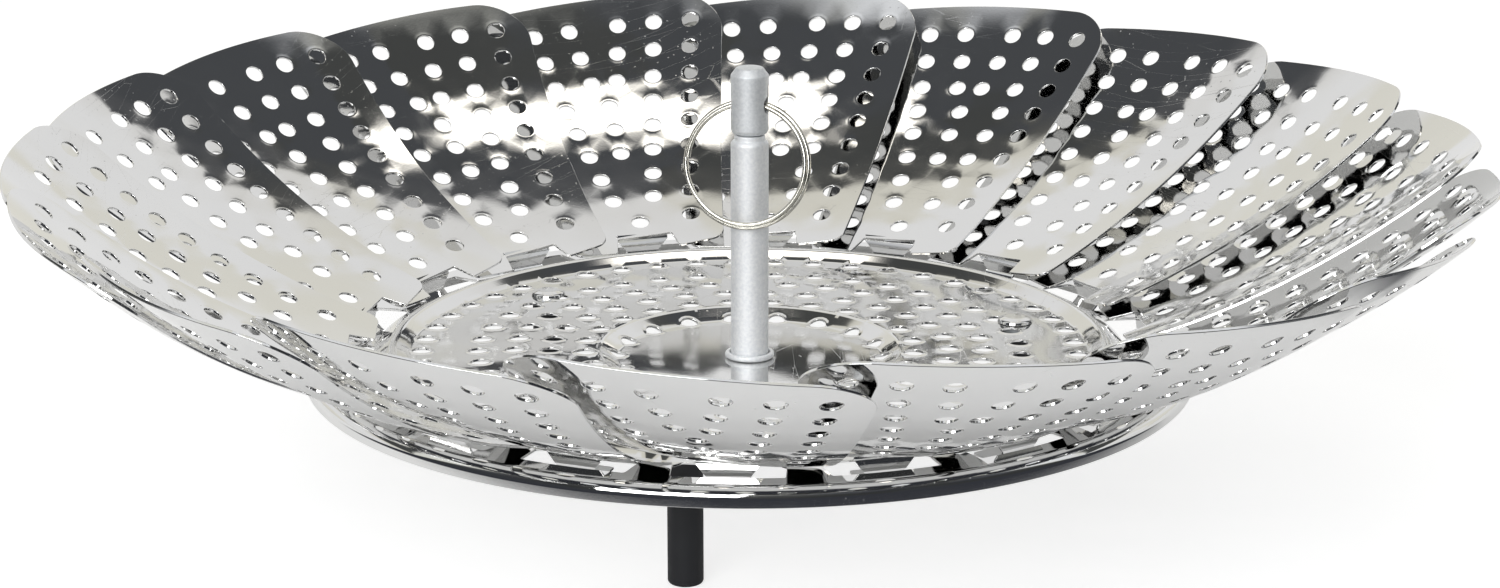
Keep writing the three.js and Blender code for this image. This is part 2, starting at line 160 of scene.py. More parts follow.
def pressed_sheet(blank, surface):
    """Points, faces and normals of a sheet pressed to a surface, with its cut edges rounded."""
    spots, triangles, loops = blank
    middle, normals = surface(spots)
    count = len(middle)
    half = normals * sheet / 2
    points = [middle + half, middle - half]
    facing = [normals, -normals]
    faces = triangles.tolist() + (triangles[:, ::-1] + count).tolist()
    total = 2 * count
    for loop in loops:
        here = middle[loop]
        up = normals[loop]
        travel = np.roll(here, -1, axis=0) - np.roll(here, 1, axis=0)
        out = np.cross(travel, up)
        out /= np.linalg.norm(out, axis=1, keepdims=True)
        inset = sheet / 2 - cut_rounding
        points += [here + out * cut_rounding + up * inset, here + out * cut_rounding - up * inset]
        facing += [out, out]
        size = len(loop)
        rows = [loop, range(total, total + size), range(total + size, total + 2 * size)]
        rows.append([i + count for i in loop])
        for upper, lower in zip(rows, rows[1:]):
            for i in range(size):
                j = (i + 1) % size
                faces.append((upper[j], upper[i], lower[i], lower[j]))
        total += 2 * size
    return np.concatenate(points), faces, np.concatenate(facing)


def lips(offsets, radii, height, width):
    """The rise of the sheet near a hole's edge and its slope, from offsets to the hole's centre."""
    distance = np.maximum(np.linalg.norm(offsets, axis=1), 1e-6)
    past = np.maximum(distance - radii, 0)
    rise = height * np.exp(-((past / width) ** 2))
    slope = -2 * past / width**2 * rise / distance
    return rise, offsets * slope[:, None]


def made_object(name, points, faces, normals, material):
    """An object from points in millimetres, lifted from the base's floor to the standing height."""
    lifted = (np.asarray(points) + (0, 0, floor_height)) * mm
    mesh = bpy.data.meshes.new(name)
    mesh.from_pydata(lifted.tolist(), [], [tuple(face) for face in faces])
    mesh.shade_smooth()
    mesh.normals_split_custom_set_from_vertices([tuple(normal) for normal in normals])
    mesh.materials.append(material)
    made = bpy.data.objects.new(name, mesh)
    bpy.context.scene.collection.objects.link(made)
    return made


def colour(code):
    """A linear colour from an sRGB hex code."""
    parts = [int(code[i : i + 2], 16) / 255 for i in (1, 3, 5)]
    return (*[p / 12.92 if p <= 0.04045 else ((p + 0.055) / 1.055) ** 2.4 for p in parts], 1)


def add(tree, kind, sockets=(), **settings):
    """One node with its settings, and with values or links on its sockets."""
    made = tree.nodes.new(kind)
    for name, value in settings.items():
        setattr(made, name, value)
    for socket, value in dict(sockets).items():
        if isinstance(value, bpy.types.NodeSocket):
            tree.links.new(value, made.inputs[socket])
        else:
            made.inputs[socket].default_value = value
    return made


def new_material(name):
    """A bare material and its node tree."""
    material = bpy.data.materials.new(name)
    material.use_nodes = True
    material.node_tree.nodes.clear()
    return material, material.node_tree


def mirror_polished_stainless():
    """Stainless sheet buffed to a mirror: it shows the room sharply, but handling has left it with
    faint waves, cloudy smears, sparse hairline scratches and fine pale specks."""
    wave_length = 28 * mm
    wave_depth = 0.06 * mm
    smear_length = 20 * mm
    patch_length = 44 * mm
    speck_pitch = 1.6 * mm
    scratch_pitch = 2.75 * mm
    scratch_stretch = (1.0, 0.05, 0.25)
    scratch_turn = (0.3, 0.2, 0.9)
    mark_roughness = 0.36
    # The buffing's own grain is finer. It is drawn as coarse as it needs to show.
    grain_size = 0.5 * mm
    grain_depth = 0.0016 * mm
    material, tree = new_material("mirror_polished_stainless")
    place = add(tree, "ShaderNodeTexCoord").outputs["Object"]
    own = add(tree, "ShaderNodeObjectInfo").outputs["Random"]
    apart = add(tree, "ShaderNodeCombineXYZ", {"X": own, "Y": own, "Z": own}).outputs[0]
    moved = add(tree, "ShaderNodeVectorMath", {0: place, 1: apart}, operation="ADD").outputs[0]
    waves = add(tree, "ShaderNodeTexNoise", {"Vector": moved, "Scale": 1 / wave_length, "Detail": 1.5})
    patches = add(tree, "ShaderNodeTexNoise", {"Vector": moved, "Scale": 1 / patch_length, "Detail": 2.0})
    grain = add(tree, "ShaderNodeTexNoise", {"Vector": moved, "Scale": 1 / grain_size, "Detail": 3.0})
    smears = add(
        tree,
        "ShaderNodeTexNoise",
        {"Vector": moved, "Scale": 1 / smear_length, "Detail": 5.0, "Roughness": 0.6, "Distortion": 0.5},
    )
    specks = add(tree, "ShaderNodeTexVoronoi", {"Vector": moved, "Scale": 1 / speck_pitch})
    on_speck = add(
        tree,
        "ShaderNodeMapRange",
        {"Value": specks.outputs["Distance"], "From Min": 0.15, "From Max": 0.07},
    )
    stretched = add(
        tree,
        "ShaderNodeMapping",
        {"Vector": moved, "Scale": scratch_stretch, "Rotation": scratch_turn},
    )
    scratches = add(
        tree,
        "ShaderNodeTexVoronoi",
        {"Vector": stretched.outputs[0], "Scale": 1 / scratch_pitch},
        feature="DISTANCE_TO_EDGE",
    )
    on_scratch = add(
        tree,
        "ShaderNodeMapRange",
        {"Value": scratches.outputs["Distance"], "From Min": 0.006, "From Max": 0.0},
    )
    handled = add(
        tree,
        "ShaderNodeMapRange",
        {"Value": patches.outputs["Fac"], "From Min": 0.46, "From Max": 0.62},
    )
    marks = {0: on_speck.outputs[0], 1: on_scratch.outputs[0]}
    marks = add(tree, "ShaderNodeMath", marks, operation="MAXIMUM")
    marks = {0: marks.outputs[0], 1: handled.outputs[0]}
    marks = add(tree, "ShaderNodeMath", marks, operation="MULTIPLY")
    polish = add(
        tree,
        "ShaderNodeMapRange",
        {
            "Value": smears.outputs["Fac"],
            "From Min": 0.35,
            "From Max": 0.75,
            "To Min": 0.025,
            "To Max": 0.1,
        },
    )
    rough = add(
        tree,
        "ShaderNodeMapRange",
        {"Value": marks.outputs[0], "To Min": polish.outputs[0], "To Max": mark_roughness},
    )
    waved = add(tree, "ShaderNodeBump", {"Height": waves.outputs["Fac"], "Distance": wave_depth})
    grained = add(
        tree,
        "ShaderNodeBump",
        {"Height": grain.outputs["Fac"], "Distance": grain_depth, "Normal": waved.outputs[0]},
    )
    tint = add(
        tree,
        "ShaderNodeMix",
        {"Factor": smears.outputs["Fac"], "A": colour("#dedede"), "B": colour("#e6e6e5")},
        data_type="RGBA",
    )
    steel = add(
        tree,
        "ShaderNodeBsdfPrincipled",
        {
            "Base Color": tint.outputs["Result"],
            "Metallic": 1.0,
            "Roughness": rough.outputs[0],
            "Normal": grained.outputs[0],
        },
    )
    add(tree, "ShaderNodeOutputMaterial", {"Surface": steel.outputs[0]})
    return material


stainless = mirror_polished_stainless()

profile_points, profile_headings = rounded(plate_profile)
profile_reach = plate_profile[0][0] + lengths_along(profile_points)


def sheet_waves(seed, count, lengths, steepness):
    """The slight waves that the press leaves in a sheet: their rise and slopes at places on it."""
    draw = np.random.default_rng(seed)
    length = draw.uniform(*lengths, count)
    bearing = draw.uniform(0, math.pi, count)
    phase = draw.uniform(0, 2 * math.pi, count)
    kx = 2 * math.pi / length * np.cos(bearing)
    ky = 2 * math.pi / length * np.sin(bearing)
    height = steepness * length / (2 * math.pi * math.sqrt(count))

    def waves(spots):
        angle = spots[:, :1] * kx + spots[:, 1:] * ky + phase
        rise = (height * np.sin(angle)).sum(axis=1)
        slope_x = (height * kx * np.cos(angle)).sum(axis=1)
        slope_y = (height * ky * np.cos(angle)).sum(axis=1)
        return rise, np.stack([slope_x, slope_y], axis=1)

    return waves


def plate_round(reach, angle):
    """Places on the flat blank at distances from its centre and angles round it."""
    return np.stack([reach * np.cos(angle), reach * np.sin(angle)], axis=-1)


def reach_at(radius):
    """The blank's distance from its centre that the press brings to a radius."""
    return float(np.interp(radius, profile_points[:, 0], profile_reach))


ring_holes = []
for radius_out, count, first_angle, radius in plate_rings:
    for k in range(count):
        angle = math.radians(first_angle) + 2 * math.pi * k / count
        ring_holes.append((radius_out, angle, radius))
hole_table = np.array(ring_holes)
hole_spots = plate_round(np.array([reach_at(radius) for radius in hole_table[:, 0]]), hole_table[:, 1])

# The press's waves over the plate, which die out towards its bends: (inner radius, outer radius).
floor_waves = sheet_waves(seed=40, count=8, lengths=(18, 45), steepness=0.022)
floor_span = (floor_inner, 60.5)
dish_span = (4.5, dish_radius)
dish_wave_share = 0.4
wave_fade = 4


def faded(radius, span):
    """1 inside a span of the plate's radius, falling to 0 at its two ends."""
    return np.clip((radius - span[0]) / wave_fade, 0, 1) * np.clip((span[1] - radius) / wave_fade, 0, 1)


def plate_surface(spots):
    """Where the press takes places on the blank, and the normals there."""
    reach = np.linalg.norm(spots, axis=1)
    angle = np.arctan2(spots[:, 1], spots[:, 0])
    radius = np.interp(reach, profile_reach, profile_points[:, 0])
    height = np.interp(reach, profile_reach, profile_points[:, 1])
    heading = np.interp(reach, profile_reach, profile_headings)
    c, s = np.cos(angle), np.sin(angle)
    along = np.stack([np.cos(heading) * c, np.cos(heading) * s, np.sin(heading)], axis=1)
    across = np.stack([-s, c, np.zeros_like(s)], axis=1)
    normal = np.stack([-np.sin(heading) * c, -np.sin(heading) * s, np.cos(heading)], axis=1)
    nearest = np.argmin(np.linalg.norm(spots[:, None] - hole_spots[None], axis=2), axis=1)
    centre = hole_spots[nearest]
    turn = (angle - hole_table[nearest, 1] + math.pi) % (2 * math.pi) - math.pi
    offsets = np.stack([reach - np.linalg.norm(centre, axis=1), turn * radius], axis=1)
    rise, slope = lips(offsets, hole_table[nearest, 2] + cut_rounding, lip_height, lip_width)
    flat = np.stack([radius * c, radius * s], axis=1)
    wave, wave_slope = floor_waves(flat)
    waved = np.maximum(faded(radius, floor_span), dish_wave_share * faded(radius, dish_span))
    point = np.column_stack([flat, height + wave * waved]) + normal * rise[:, None]
    normal = normal - along * slope[:, :1] - across * slope[:, 1:]
    normal[:, :2] -= wave_slope * waved[:, None]
    return point, normal / np.linalg.norm(normal, axis=1, keepdims=True)


def plate_hole(radius_out, angle, radius, sides):
    """A round hole on the blank, drawn clockwise, so that it is round once pressed."""
    turns = -2 * math.pi * np.arange(sides) / sides
    reach = reach_at(radius_out) + radius * np.cos(turns)
    return plate_round(reach, angle + radius * np.sin(turns) / radius_out)


def plate_slot(angle):
    """A petal's slot on the blank, drawn clockwise."""
    corners = [
        (slot_inner, -(slot_half - slot_bevel), slot_corner),
        (slot_inner, slot_half - slot_bevel, slot_corner),
        (slot_inner + slot_bevel, slot_half, slot_corner),
        (slot_outer, slot_half, slot_corner),
        (slot_outer, -slot_half, slot_corner),
        (slot_inner + slot_bevel, -slot_half, slot_corner),
    ]
    loop = divided(rounded(corners, closed=True)[0], slot_step)
    reach = np.interp(loop[:, 0], profile_points[:, 0], profile_reach)
    return plate_round(reach, angle + loop[:, 1] / loop[:, 0])


def plate_blank():
    """The plate's flat blank with its holes and slots, and points in rows that lie closer in the bends."""
    row_pitch = 2.4
    bend_pitch = 1.1
    least_step = 0.15
    first_step = 1.2
    rim_steps = 456
    bore_steps = 40
    hole_sides = 26
    lip_sides = 18
    lip_spreads = (0.32, 0.75)
    hole_gap = 1.25
    bend_hole_gap = 1.05
    slot_gap = 0.6
    slot_end_gap = 0.7
    # The bends: (inner radius, outer radius, points round each row).
    bends = [(23, 28.6, 162), (60, 67.4, 378), (77.5, 81, rim_steps)]
    holes = [plate_round(profile_reach[0], -2 * math.pi * np.arange(bore_steps) / bore_steps)]
    inner = []
    for radius_out, angle, radius in ring_holes:
        edge = radius + cut_rounding
        holes.append(plate_hole(radius_out, angle, edge, hole_sides))
        inner += [plate_hole(radius_out, angle, edge + spread, lip_sides) for spread in lip_spreads]
    holes += [plate_slot(first_petal + 2 * math.pi * k / petal_count) for k in range(petal_count)]
    reaches = [profile_reach[0] + first_step]
    for reach, radius in zip(profile_reach[1:-1], profile_points[1:-1, 0]):
        pitch = bend_pitch if any(low < radius < high for low, high, _ in bends) else row_pitch
        while reach - reaches[-1] > 1.5 * pitch:
            reaches.append(reaches[-1] + pitch)
        if reach - reaches[-1] > least_step:
            reaches.append(reach)
    for k, reach in enumerate(reaches):
        bent = [steps for low, high, steps in bends if reach_at(low) < reach <= reach_at(high)]
        steps = bent[0] if bent else max(12, round(2 * math.pi * reach / row_pitch))
        angles = 2 * math.pi * (np.arange(steps) + (0 if bent else k % 2 / 2)) / steps
        row = plate_round(reach, angles)
        gap = np.linalg.norm(row[:, None] - hole_spots[None], axis=2) - hole_table[:, 2]
        row = row[gap.min(axis=1) > (bend_hole_gap if bent else hole_gap)]
        if reach_at(slot_inner - slot_gap) < reach < reach_at(slot_outer + slot_gap):
            angles = np.arctan2(row[:, 1], row[:, 0])
            pitch = 2 * math.pi / petal_count
            off = (angles - first_petal + pitch / 2) % pitch - pitch / 2
            row = row[np.abs(off) * reach > slot_half + slot_end_gap]
        inner.append(row)
    rim = plate_round(profile_reach[-1], 2 * math.pi * np.arange(rim_steps) / rim_steps)
    return cut_blank(rim, holes, np.concatenate(inner))


base_plate = made_object("base_plate_pressed", *pressed_sheet(plate_blank(), plate_surface), stainless)
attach(base_plate, "base")
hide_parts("base_plate")

# Petals
# Eighteen leaves stamped from the same sheet: slightly dished, with nine rows of punched holes. At
# the root a tongue is lanced out of a window and bent down through its slot to hook under the base.
# Each lies over one neighbour and under the other, and no two were pressed quite alike.
hinge_radius = 68.1
hinge_rise = 1.3
petal_length = 72.5
root_half = 15.4
tip_half = 28.6
root_corner = 2.6
tip_corner = 8.5
petal_slope = math.radians(30.2)
back_steeper = math.radians(3.0)
petal_twist = math.radians(5)
left_more_twisted = math.radians(1.65)
arc_radius = 150
cross_radius = 104
tip_arc_radius = 75
petal_lean = math.radians(-2.9)
window_height = 4.6
window_half = 6.5
window_top_half = 5.6
outer_inset = 6.5
hole_pitch = 7.75
row_heights = [9.2, 16.8, 23.8, 30.9, 38.0, 44.6, 51.2, 58.3, 65.4]
row_counts = [3, 4, 4, 5, 5, 5, 6, 6, 6]
dish_depth = -0.035
dish_width = 0.7
press_wave = 0.014

petal_holes = []
for height, count in zip(row_heights, row_counts):
    half = root_half + (tip_half - root_half) * height / petal_length - outer_inset
    for k in range(count // 2):
        petal_holes += [(height, half - hole_pitch * k), (height, hole_pitch * k - half)]
    if count % 2:
        petal_holes.append((height, 0))


def stamped(spots):
    """Places on the petal's blank, its rows bent round with its tip edge and its middle leant aside."""
    x = spots[:, 0] * (1 - spots[:, 1] ** 2 / (2 * tip_arc_radius * petal_length))
    return np.stack([x, spots[:, 1] + x * math.tan(petal_lean)], axis=1)


petal_hole_spots = stamped(np.array(petal_holes))


def petal_frame(slope, twist):
    """Where a petal at angle 0 stands, from its chord's slope up from the hinge and its twist."""
    return (
        Matrix.Translation((hinge_radius, 0, hinge_rise))
        @ Matrix.Rotation(-slope, 4, "Y")
        @ Matrix.Rotation(-twist, 4, "X")
    )


def petal_blank():
    """A petal's flat blank with its window and holes, and the points inside that shape its dish."""
    grid_step = 2.9
    edge_step = 1.6
    hole_sides = 28
    lip_spreads = (0.4, 1.0)
    edge_gap = 1.1
    hole_gap = 1.6
    corners = [
        (0, -window_half, 0.4),
        (window_height, -window_top_half, 0.4),
        (window_height, window_top_half, 0.4),
        (0, window_half, 0.4),
        (0, root_half, root_corner),
        (petal_length, tip_half, tip_corner),
        (petal_length, -tip_half, tip_corner),
        (0, -root_half, root_corner),
    ]
    outline = stamped(divided(rounded(corners, closed=True)[0], edge_step)[::-1])
    turns = -2 * math.pi * np.arange(hole_sides) / hole_sides
    circle = np.stack([np.cos(turns), np.sin(turns)], axis=1)
    radius = hole_radius + cut_rounding
    holes = [spot + circle * radius for spot in petal_hole_spots]
    inner = [spot + circle[::2] * (radius + spread) for spot in petal_hole_spots for spread in lip_spreads]
    x, y = np.meshgrid(
        np.arange(grid_step / 2, petal_length, grid_step),
        np.arange(-tip_half, tip_half, grid_step),
        indexing="ij",
    )
    y = y + (np.arange(y.shape[0]) % 2)[:, None] * grid_step / 2
    grid = np.stack([x.ravel(), y.ravel()], axis=1)
    half = root_half + (tip_half - root_half) * grid[:, 0] / petal_length
    grid = grid[np.abs(grid[:, 1]) < half]
    grid = stamped(grid[(grid[:, 0] > window_height) | (np.abs(grid[:, 1]) > window_half)])
    grid = grid[np.linalg.norm(grid[:, None] - outline[None], axis=2).min(axis=1) > edge_gap]
    from_holes = np.linalg.norm(grid[:, None] - petal_hole_spots[None], axis=2).min(axis=1)
    grid = grid[from_holes > radius + hole_gap]
    return cut_blank(outline, holes, np.concatenate([*inner, grid]))


def petal_surface(seed, slope, twist):
    """The surface of one petal: the press's dished form with that petal's own slight waves."""
    root_fade = 12
    waves = sheet_waves(seed, count=5, lengths=(30, 70), steepness=press_wave)
    rotation = np.array(petal_frame(slope, twist).to_3x3())
    origin = np.array(petal_frame(slope, twist).to_translation())

    def surface(spots):
        x, y = spots[:, 0], spots[:, 1]
        fade = np.clip(x / root_fade, 0, 1)
        wave, wave_slope = waves(spots)
        wave_x, wave_y = (wave_slope * fade[:, None]).T
        aside = y - x * math.tan(petal_lean)
        rise = x * (x - petal_length) / (2 * arc_radius) + aside**2 / (2 * cross_radius) + wave * fade
        offsets = spots[:, None] - petal_hole_spots[None]
        nearest = np.argmin(np.linalg.norm(offsets, axis=2), axis=1)
        offset = offsets[np.arange(len(spots)), nearest]
        lip, lip_slope = lips(offset, hole_radius + cut_rounding, dish_depth, dish_width)
        slope_y = aside / cross_radius + wave_y + lip_slope[:, 1]
        slope_x = (2 * x - petal_length) / (2 * arc_radius) + wave_x + lip_slope[:, 0]
        slope_x -= aside / cross_radius * math.tan(petal_lean)
        local = np.stack([x, y, rise + lip], axis=1)
        normal = np.stack([-slope_x, -slope_y, np.ones_like(x)], axis=1)
        normal /= np.linalg.norm(normal, axis=1, keepdims=True)
        return local @ rotation.T + origin, normal @ rotation.T

    return surface


def tongue(slope, twist):
    """The hooked tongue, a strip that follows its path through the slot and under the base."""
    root_half_width = 5.3
    hook_half_width = 3.4
    lanced = 5.6
    lanced_rise = lanced * (lanced - petal_length) / (2 * arc_radius)
    root = petal_frame(slope, twist) @ Vector((lanced, 0, lanced_rise))
    reach = hinge_radius + 4.9
    narrow_from = 1.6
    narrow_over = 1.6
    # From the petal's window down to the hook's end: (distance out, height, rounding).
    path = [
        (root.x, root.z, 0),
        (reach + 0.1, 2.4, 0.5),
        (reach, -0.35, 1.2),
        (reach - 2.45, -2.8, 1.2),
        (reach - 7.2, -2.3, 0),
    ]
    points, headings = rounded(path)
    travel = lengths_along(points)
    narrowing = np.clip((travel - narrow_from) / narrow_over, 0, 1)
    halves = root_half_width + (hook_half_width - root_half_width) * narrowing
    made = []
    facing = []
    for (across, up), heading, half in zip(points, headings, halves):
        side = np.array((math.sin(heading), 0, -math.cos(heading)))
        here = np.array((across, 0, up))
        edge = np.array((0, 1, 0))
        inner_half = half - cut_rounding
        inner_thick = sheet / 2 - cut_rounding
        for face, wide, thick in (
            (side, inner_half, sheet / 2),
            (edge, half, inner_thick),
            (edge, half, -inner_thick),
            (-side, inner_half, -sheet / 2),
            (-side, -inner_half, -sheet / 2),
            (-edge, -half, -inner_thick),
            (-edge, -half, inner_thick),
            (side, -inner_half, sheet / 2),
        ):
            made.append(here + edge * wide + side * thick)
            facing.append(face)
    sides = 8
    faces = []
    for row in range(len(points) - 1):
        here, there = row * sides, (row + 1) * sides
        for i in range(sides):
            j = (i + 1) % sides
            faces.append((here + i, here + j, there + j, there + i))
    last = sides * (len(points) - 1)
    faces.append(tuple(range(sides - 1, -1, -1)))
    faces.append(tuple(range(last, last + sides)))
    return np.array(made), faces, np.array(facing)


shared_blank = petal_blank()
for k in range(petal_count):
    petal_angle = first_petal + 2 * math.pi * k / petal_count
    slope = petal_slope + back_steeper * math.sin(petal_angle)
    twist = petal_twist - left_more_twisted * math.cos(petal_angle)
    points, faces, normals = pressed_sheet(shared_blank, petal_surface(k + 1, slope, twist))
    tongue_points, tongue_faces, tongue_normals = tongue(slope, twist)
    joined = faces + [tuple(i + len(points) for i in face) for face in tongue_faces]
    node = f"petal_{k + 1:02d}"
    petal = made_object(
        node + "_leaf",
        np.concatenate([points, tongue_points]),
        joined,
        np.concatenate([normals, tongue_normals]),
        stainless,
    )
    petal.matrix_world = Matrix.Rotation(petal_angle, 4, "Z")
    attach(petal, node)
    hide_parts(node)

# Centre post
# A drawn aluminium tube with a rounded shoulder and a thin neck, tumbled to an even satin grain. It
# stands in the dish, held from below, with a loose turned collar round its foot.
dish_top = dish_height + sheet / 2
seat_gap = 0.1
tube_foot = dish_top + seat_gap
tube_radius = 3.4
tube_bore = 2.9
tube_top = 38.4
neck_radius = 2.9
neck_top = 39.7
rod_radius = 2
running_gap = 0.3
collar_radius = 4.45
collar_height = 1
screw_radius = 1.55
foot_height = 5


def turned(outline, sides=96):
    """Points, faces and normals of a turned piece. The outline is a list of (radius, height,
    rounding), drawn upwards on the outer side."""
    on_axis = outline[0][0] == 0
    points, headings = rounded(outline, closed=not on_axis)
    angles = 2 * math.pi * np.arange(sides) / sides
    made = []
    facing = []
    rows = []
    for (radius, height), heading in zip(points, headings):
        start = len(made)
        if radius < 1e-6:
            made.append((0, 0, height))
            facing.append((0, 0, -math.cos(heading)))
            rows.append([start] * sides)
            continue
        for angle in angles:
            c, s = math.cos(angle), math.sin(angle)
            made.append((radius * c, radius * s, height))
            facing.append((math.sin(heading) * c, math.sin(heading) * s, -math.cos(heading)))
        rows.append(list(range(start, start + sides)))
    if not on_axis:
        rows.append(rows[0])
    faces = []
    for lower, upper in zip(rows, rows[1:]):
        for i in range(sides):
            j = (i + 1) % sides
            corners = [lower[i], lower[j], upper[j], upper[i]]
            faces.append([corner for n, corner in enumerate(corners) if corner != corners[n - 1]])
    return made, faces, facing


def satin_aluminium(name, tints, roughness):
    """Aluminium tumbled to a satin skin: a soft grey sheen with a fine pale grain and no sharp image."""
    cloud_size = 5.556 * mm
    # The tumbled grain is finer. It is drawn as coarse as it needs to show.
    grain_size = 0.55 * mm
    grain_depth = 0.012 * mm
    material, tree = new_material(name)
    place = add(tree, "ShaderNodeTexCoord").outputs["Object"]
    grain = add(tree, "ShaderNodeTexNoise", {"Vector": place, "Scale": 1 / grain_size, "Detail": 3.0})
    cloud = add(tree, "ShaderNodeTexNoise", {"Vector": place, "Scale": 1 / cloud_size, "Detail": 4.0})
    speckle = add(
        tree,
        "ShaderNodeMapRange",
        {"Value": grain.outputs["Fac"], "From Min": 0.3, "From Max": 0.7},
    )
    tint = add(
        tree,
        "ShaderNodeMix",
        {"Factor": speckle.outputs[0], "A": colour(tints[0]), "B": colour(tints[1])},
        data_type="RGBA",
    )
    rough = add(
        tree,
        "ShaderNodeMapRange",
        {
            "Value": cloud.outputs["Fac"],
            "From Min": 0.3,
            "From Max": 0.7,
            "To Min": roughness - 0.05,
            "To Max": roughness + 0.06,
        },
    )
    bump = add(tree, "ShaderNodeBump", {"Height": grain.outputs["Fac"], "Distance": grain_depth})
    metal = add(
        tree,
        "ShaderNodeBsdfPrincipled",
        {
            "Base Color": tint.outputs["Result"],
            "Metallic": 1.0,
            "Roughness": rough.outputs[0],
            "Normal": bump.outputs[0],
        },
    )
    add(tree, "ShaderNodeOutputMaterial", {"Surface": metal.outputs[0]})
    return material


tube_aluminium = satin_aluminium("satin_drawn_aluminium", ("#eef0f3", "#fbfcfd"), 0.68)

tube_outline = [
    (screw_radius + running_gap, tube_foot, 0.15),
    (tube_radius, tube_foot, 0.2),
    (tube_radius, tube_top, 0.9),
    (neck_radius - 0.15, tube_top + 0.35, 0.25),
    (neck_radius - 0.15, neck_top, 0.3),
    (rod_radius + running_gap, neck_top, 0.15),
    (rod_radius + running_gap, tube_top - 0.5, 0.1),
    (tube_bore, tube_top - 1, 0.2),
    (tube_bore, tube_foot + foot_height, 0.2),
    (screw_radius + running_gap, tube_foot + foot_height, 0.15),
]
post_tube = made_object("post_tube_drawn", *turned(tube_outline), tube_aluminium)
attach(post_tube, "base")
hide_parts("post_tube")

collar_outline = [
    (tube_radius + running_gap, tube_foot, 0.12),
    (collar_radius, tube_foot, 0.42),
    (collar_radius, tube_foot + collar_height, 0.42),
    (tube_radius + running_gap, tube_foot + collar_height, 0.12),
]
post_collar = made_object("post_collar_turned", *turned(collar_outline), tube_aluminium)
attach(post_collar, "base")
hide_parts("post_collar")

# Sliding rod and head
# A solid rod that slides in the tube and carries the head, a short turned plug with a bevelled and
# slightly crowned top. A cross hole near its top takes the ring.
head_bottom = neck_top + running_gap
head_height = 12.2
head_top = head_bottom + head_height
head_socket = 2.6
head_crown = 1.7
ring_hole_radius = 1.6
ring_hole_height = head_top - 7
ring_hole_angle = math.radians(-14)
rod_foot = tube_foot + foot_height + running_gap
stop_height = 2
head_aluminium = satin_aluminium("satin_turned_aluminium", ("#dfe2e5", "#eef0f2"), 0.64)

rod_outline = [
    (0, rod_foot, 0),
    (tube_bore - running_gap, rod_foot, 0.25),
    (tube_bore - running_gap, rod_foot + stop_height, 0.25),
    (rod_radius, rod_foot + stop_height, 0.15),
    (rod_radius, head_bottom + head_socket - seat_gap, 0.2),
    (0, head_bottom + head_socket - seat_gap, 0),
]
handle_rod = made_object("handle_rod_turned", *turned(rod_outline), head_aluminium)
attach(handle_rod, "handle")
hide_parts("handle_rod")

head_outline = [
    (0, head_bottom + head_socket, 0),
    (rod_radius + seat_gap, head_bottom + head_socket, 0.1),
    (rod_radius + seat_gap, head_bottom, 0.1),
    (tube_radius - 0.35, head_bottom, 0.15),
    (tube_radius, head_bottom + 0.7, 0.5),
    (tube_radius, head_top - head_crown, 0.5),
    (tube_radius - 1.0, head_top - 0.35, 0.6),
    (0, head_top, 0),
]


def drilled(piece, height, radius, angle):
    """Cuts a cross hole through a turned piece, with its edges just broken."""
    reach = tube_radius + 1
    broken = 0.25
    drill_sides = 48
    crease = math.radians(32)
    outline = [
        (0, -reach, 0),
        (radius + 2 * broken, -reach, 0.1),
        (radius, -tube_radius + 2 * broken, 0.2),
        (radius, tube_radius - 2 * broken, 0.2),
        (radius + 2 * broken, reach, 0.1),
        (0, reach, 0),
    ]
    drill = made_object("drill", *turned(outline, drill_sides), piece.data.materials[0])
    drill.data.transform(Matrix.Translation((0, 0, -floor_height * mm)))
    drill.data.transform(Matrix.Rotation(math.radians(90), 4, "Y"))
    drill.data.transform(Matrix.Rotation(angle, 4, "Z"))
    drill.data.transform(Matrix.Translation((0, 0, (floor_height + height) * mm)))
    cut = piece.modifiers.new("cross_hole", "BOOLEAN")
    cut.object = drill
    cut.operation = "DIFFERENCE"
    cut.solver = "EXACT"
    applied = bpy.data.meshes.new_from_object(
        piece.evaluated_get(bpy.context.evaluated_depsgraph_get())
    )
    piece.modifiers.clear()
    piece.data = applied
    applied.shade_smooth()
    applied.set_sharp_from_angle(angle=crease)
    bpy.data.objects.remove(drill)


handle_head = made_object("handle_head_turned", *turned(head_outline), head_aluminium)
drilled(handle_head, ring_hole_height, ring_hole_radius, ring_hole_angle)
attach(handle_head, "handle")
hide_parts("handle_head")

# Pull ring
# A split ring of round spring wire, wound twice round with its turns touching. It hangs from the
# cross hole and leans on the front of the tube.
wire_radius = 0.45
ring_middle = 11.0
ring_spring = 0.26
ring_stack = math.sqrt(wire_radius**2 - ring_spring**2)
ring_sag = tube_radius**2 / (4 * ring_middle)
ring_lean = math.asin((tube_radius + running_gap + 2 * wire_radius) / (2 * ring_middle - wire_radius))
ring_place = (
    Matrix.Translation((0, 0, ring_hole_height))
    @ Matrix.Rotation(ring_hole_angle, 4, "Z")
    @ Matrix.Rotation(-ring_lean, 4, "X")
    @ Matrix.Translation((0, 0, ring_sag - ring_middle))
    @ Matrix.Rotation(math.radians(90), 4, "X")
)


